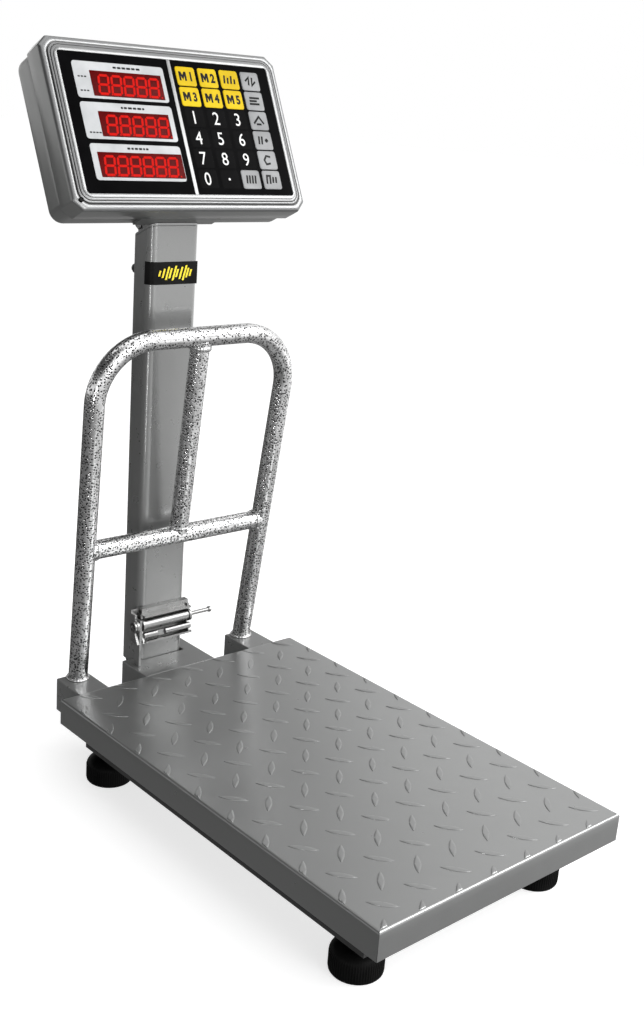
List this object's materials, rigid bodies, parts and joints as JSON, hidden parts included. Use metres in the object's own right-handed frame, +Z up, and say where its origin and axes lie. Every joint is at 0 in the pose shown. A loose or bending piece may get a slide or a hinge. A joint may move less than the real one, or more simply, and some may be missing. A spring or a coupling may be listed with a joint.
{
  "type": "platform shipping scale",
  "caption": "Platform shipping scale with a tread-plate deck, goods rail, folding column and tilting price-computing indicator head with keypad.",
  "frame": {"origin": "on the floor, under the middle of the scale's overall box", "axes": "+Z up, +Y from the platform towards the column, +X to the right of a user who stands at the platform's front edge and faces the column"},
  "size_m": [0.3, 0.5884, 0.7139],
  "materials": {
    "silver_paint": "glossy metallic grey paint",
    "frame_steel": "dark grey painted tube",
    "rail_chrome": "chromed tube with an embossed texture",
    "zinc_plate": "zinc-plated steel",
    "load_cell_aluminium": "machined, anodised",
    "foot_rubber": "ribbed black rubber",
    "black_plastic": "fine-grained black plastic",
    "head_shell": "metallic grey paint with a polished bezel",
    "overlay_film": "glossy printed film",
    "display_red": "dark red filter over red segment digits",
    "circuit_board": "green solder mask",
    "key_yellow": "satin printed key",
    "key_grey": "satin printed key",
    "key_black": "satin printed key"
  },
  "bodies": {
    "base": {"base_frame": "frame_steel", "load_cell": "load_cell_aluminium", "load_cell_spacer_lower": "zinc_plate", "load_cell_spacer_upper": "zinc_plate", "upper_frame": "silver_paint", "rail_hoop": "rail_chrome", "rail_crossbar": "rail_chrome", "rail_middle_bar": "rail_chrome", "column_seat": "silver_paint", "hinge_bracket": "frame_steel", "pivot_bolt": "zinc_plate", "keeper_plate": "zinc_plate"},
    "cover": {"cover_plate": "silver_paint"},
    "foot_front_left": {"foot_front_left": "foot_rubber"},
    "foot_front_right": {"foot_front_right": "foot_rubber"},
    "foot_rear_left": {"foot_rear_left": "foot_rubber"},
    "foot_rear_right": {"foot_rear_right": "foot_rubber"},
    "column": {"column_tube": "silver_paint", "column_foot": "frame_steel", "column_cap": "silver_paint", "cable_gland": "black_plastic", "latch_housing": "zinc_plate", "latch_spring": "zinc_plate", "tilt_bolt": "zinc_plate"},
    "latch_bolt": {"latch_bolt": "zinc_plate"},
    "tilt_knob": {"tilt_knob": "black_plastic"},
    "head": {"head_bracket": "silver_paint", "front_shell": "head_shell", "rear_shell": "head_shell", "face_panel": "overlay_film", "display_window_upper": "display_red", "display_window_middle": "display_red", "display_window_lower": "display_red", "main_board": "circuit_board", "battery": "black_plastic"},
    "power_switch": {"power_switch": "black_plastic"},
    "key_memory_1": {"key_memory_1": "key_yellow"},
    "key_memory_2": {"key_memory_2": "key_yellow"},
    "key_total": {"key_total": "key_yellow"},
    "key_function_1": {"key_function_1": "key_grey"},
    "key_memory_3": {"key_memory_3": "key_yellow"},
    "key_memory_4": {"key_memory_4": "key_yellow"},
    "key_memory_5": {"key_memory_5": "key_yellow"},
    "key_function_2": {"key_function_2": "key_grey"},
    "key_digit_1": {"key_digit_1": "key_black"},
    "key_digit_2": {"key_digit_2": "key_black"},
    "key_digit_3": {"key_digit_3": "key_black"},
    "key_function_3": {"key_function_3": "key_grey"},
    "key_digit_4": {"key_digit_4": "key_black"},
    "key_digit_5": {"key_digit_5": "key_black"},
    "key_digit_6": {"key_digit_6": "key_black"},
    "key_function_4": {"key_function_4": "key_grey"},
    "key_digit_7": {"key_digit_7": "key_black"},
    "key_digit_8": {"key_digit_8": "key_black"},
    "key_digit_9": {"key_digit_9": "key_black"},
    "key_clear": {"key_clear": "key_grey"},
    "key_digit_0": {"key_digit_0": "key_black"},
    "key_point": {"key_point": "key_black"},
    "key_function_5": {"key_function_5": "key_grey"},
    "key_function_6": {"key_function_6": "key_grey"}
  },
  "joints": [
    {"name": "cover_lift", "type": "slide", "parent": "base", "child": "cover", "axis": [0, 0, 1], "range_m": [0, 0.06]},
    {"name": "column_fold", "type": "hinge", "parent": "base", "child": "column", "pos_m": [-0.0015, 0.2386, 0.0585], "axis": [-1, 0, 0], "range_deg": [0, 85]},
    {"name": "latch_slide", "type": "slide", "parent": "column", "child": "latch_bolt", "axis": [1, 0, 0], "range_m": [0, 0.01], "stiffness_N_per_m": 300, "springref_m": -0.01},
    {"name": "head_tilt", "type": "hinge", "parent": "column", "child": "head", "pos_m": [-0.0015, 0.2446, 0.5445], "axis": [-1, 0, 0], "range_deg": [0, 20]},
    {"name": "knob_turn", "type": "hinge", "parent": "column", "child": "tilt_knob", "pos_m": [0.0255, 0.2446, 0.5445], "axis": [1, 0, 0], "continuous": true},
    {"name": "power_rocker", "type": "hinge", "parent": "head", "child": "power_switch", "pos_m": [0.09, 0.23956, 0.5717], "axis": [0, -0.4321, -0.9018], "range_deg": [0, 14]},
    {"name": "foot_front_left_level", "type": "slide", "parent": "base", "child": "foot_front_left", "axis": [0, 0, -1], "range_m": [0, 0.01]},
    {"name": "foot_front_right_level", "type": "slide", "parent": "base", "child": "foot_front_right", "axis": [0, 0, -1], "range_m": [0, 0.01]},
    {"name": "foot_rear_left_level", "type": "slide", "parent": "base", "child": "foot_rear_left", "axis": [0, 0, -1], "range_m": [0, 0.01]},
    {"name": "foot_rear_right_level", "type": "slide", "parent": "base", "child": "foot_rear_right", "axis": [0, 0, -1], "range_m": [0, 0.01]},
    {"name": "key_memory_1_press", "type": "slide", "parent": "head", "child": "key_memory_1", "axis": [0, 0.9018, -0.4321], "range_m": [0, 0.0008], "stiffness_N_per_m": 400, "springref_m": -0.0008},
    {"name": "key_memory_2_press", "type": "slide", "parent": "head", "child": "key_memory_2", "axis": [0, 0.9018, -0.4321], "range_m": [0, 0.0008], "stiffness_N_per_m": 400, "springref_m": -0.0008},
    {"name": "key_total_press", "type": "slide", "parent": "head", "child": "key_total", "axis": [0, 0.9018, -0.4321], "range_m": [0, 0.0008], "stiffness_N_per_m": 400, "springref_m": -0.0008},
    {"name": "key_function_1_press", "type": "slide", "parent": "head", "child": "key_function_1", "axis": [0, 0.9018, -0.4321], "range_m": [0, 0.0008], "stiffness_N_per_m": 400, "springref_m": -0.0008},
    {"name": "key_memory_3_press", "type": "slide", "parent": "head", "child": "key_memory_3", "axis": [0, 0.9018, -0.4321], "range_m": [0, 0.0008], "stiffness_N_per_m": 400, "springref_m": -0.0008},
    {"name": "key_memory_4_press", "type": "slide", "parent": "head", "child": "key_memory_4", "axis": [0, 0.9018, -0.4321], "range_m": [0, 0.0008], "stiffness_N_per_m": 400, "springref_m": -0.0008},
    {"name": "key_memory_5_press", "type": "slide", "parent": "head", "child": "key_memory_5", "axis": [0, 0.9018, -0.4321], "range_m": [0, 0.0008], "stiffness_N_per_m": 400, "springref_m": -0.0008},
    {"name": "key_function_2_press", "type": "slide", "parent": "head", "child": "key_function_2", "axis": [0, 0.9018, -0.4321], "range_m": [0, 0.0008], "stiffness_N_per_m": 400, "springref_m": -0.0008},
    {"name": "key_digit_1_press", "type": "slide", "parent": "head", "child": "key_digit_1", "axis": [0, 0.9018, -0.4321], "range_m": [0, 0.0008], "stiffness_N_per_m": 400, "springref_m": -0.0008},
    {"name": "key_digit_2_press", "type": "slide", "parent": "head", "child": "key_digit_2", "axis": [0, 0.9018, -0.4321], "range_m": [0, 0.0008], "stiffness_N_per_m": 400, "springref_m": -0.0008},
    {"name": "key_digit_3_press", "type": "slide", "parent": "head", "child": "key_digit_3", "axis": [0, 0.9018, -0.4321], "range_m": [0, 0.0008], "stiffness_N_per_m": 400, "springref_m": -0.0008},
    {"name": "key_function_3_press", "type": "slide", "parent": "head", "child": "key_function_3", "axis": [0, 0.9018, -0.4321], "range_m": [0, 0.0008], "stiffness_N_per_m": 400, "springref_m": -0.0008},
    {"name": "key_digit_4_press", "type": "slide", "parent": "head", "child": "key_digit_4", "axis": [0, 0.9018, -0.4321], "range_m": [0, 0.0008], "stiffness_N_per_m": 400, "springref_m": -0.0008},
    {"name": "key_digit_5_press", "type": "slide", "parent": "head", "child": "key_digit_5", "axis": [0, 0.9018, -0.4321], "range_m": [0, 0.0008], "stiffness_N_per_m": 400, "springref_m": -0.0008},
    {"name": "key_digit_6_press", "type": "slide", "parent": "head", "child": "key_digit_6", "axis": [0, 0.9018, -0.4321], "range_m": [0, 0.0008], "stiffness_N_per_m": 400, "springref_m": -0.0008},
    {"name": "key_function_4_press", "type": "slide", "parent": "head", "child": "key_function_4", "axis": [0, 0.9018, -0.4321], "range_m": [0, 0.0008], "stiffness_N_per_m": 400, "springref_m": -0.0008},
    {"name": "key_digit_7_press", "type": "slide", "parent": "head", "child": "key_digit_7", "axis": [0, 0.9018, -0.4321], "range_m": [0, 0.0008], "stiffness_N_per_m": 400, "springref_m": -0.0008},
    {"name": "key_digit_8_press", "type": "slide", "parent": "head", "child": "key_digit_8", "axis": [0, 0.9018, -0.4321], "range_m": [0, 0.0008], "stiffness_N_per_m": 400, "springref_m": -0.0008},
    {"name": "key_digit_9_press", "type": "slide", "parent": "head", "child": "key_digit_9", "axis": [0, 0.9018, -0.4321], "range_m": [0, 0.0008], "stiffness_N_per_m": 400, "springref_m": -0.0008},
    {"name": "key_clear_press", "type": "slide", "parent": "head", "child": "key_clear", "axis": [0, 0.9018, -0.4321], "range_m": [0, 0.0008], "stiffness_N_per_m": 400, "springref_m": -0.0008},
    {"name": "key_digit_0_press", "type": "slide", "parent": "head", "child": "key_digit_0", "axis": [0, 0.9018, -0.4321], "range_m": [0, 0.0008], "stiffness_N_per_m": 400, "springref_m": -0.0008},
    {"name": "key_point_press", "type": "slide", "parent": "head", "child": "key_point", "axis": [0, 0.9018, -0.4321], "range_m": [0, 0.0008], "stiffness_N_per_m": 400, "springref_m": -0.0008},
    {"name": "key_function_5_press", "type": "slide", "parent": "head", "child": "key_function_5", "axis": [0, 0.9018, -0.4321], "range_m": [0, 0.0008], "stiffness_N_per_m": 400, "springref_m": -0.0008},
    {"name": "key_function_6_press", "type": "slide", "parent": "head", "child": "key_function_6", "axis": [0, 0.9018, -0.4321], "range_m": [0, 0.0008], "stiffness_N_per_m": 400, "springref_m": -0.0008}
  ]
}
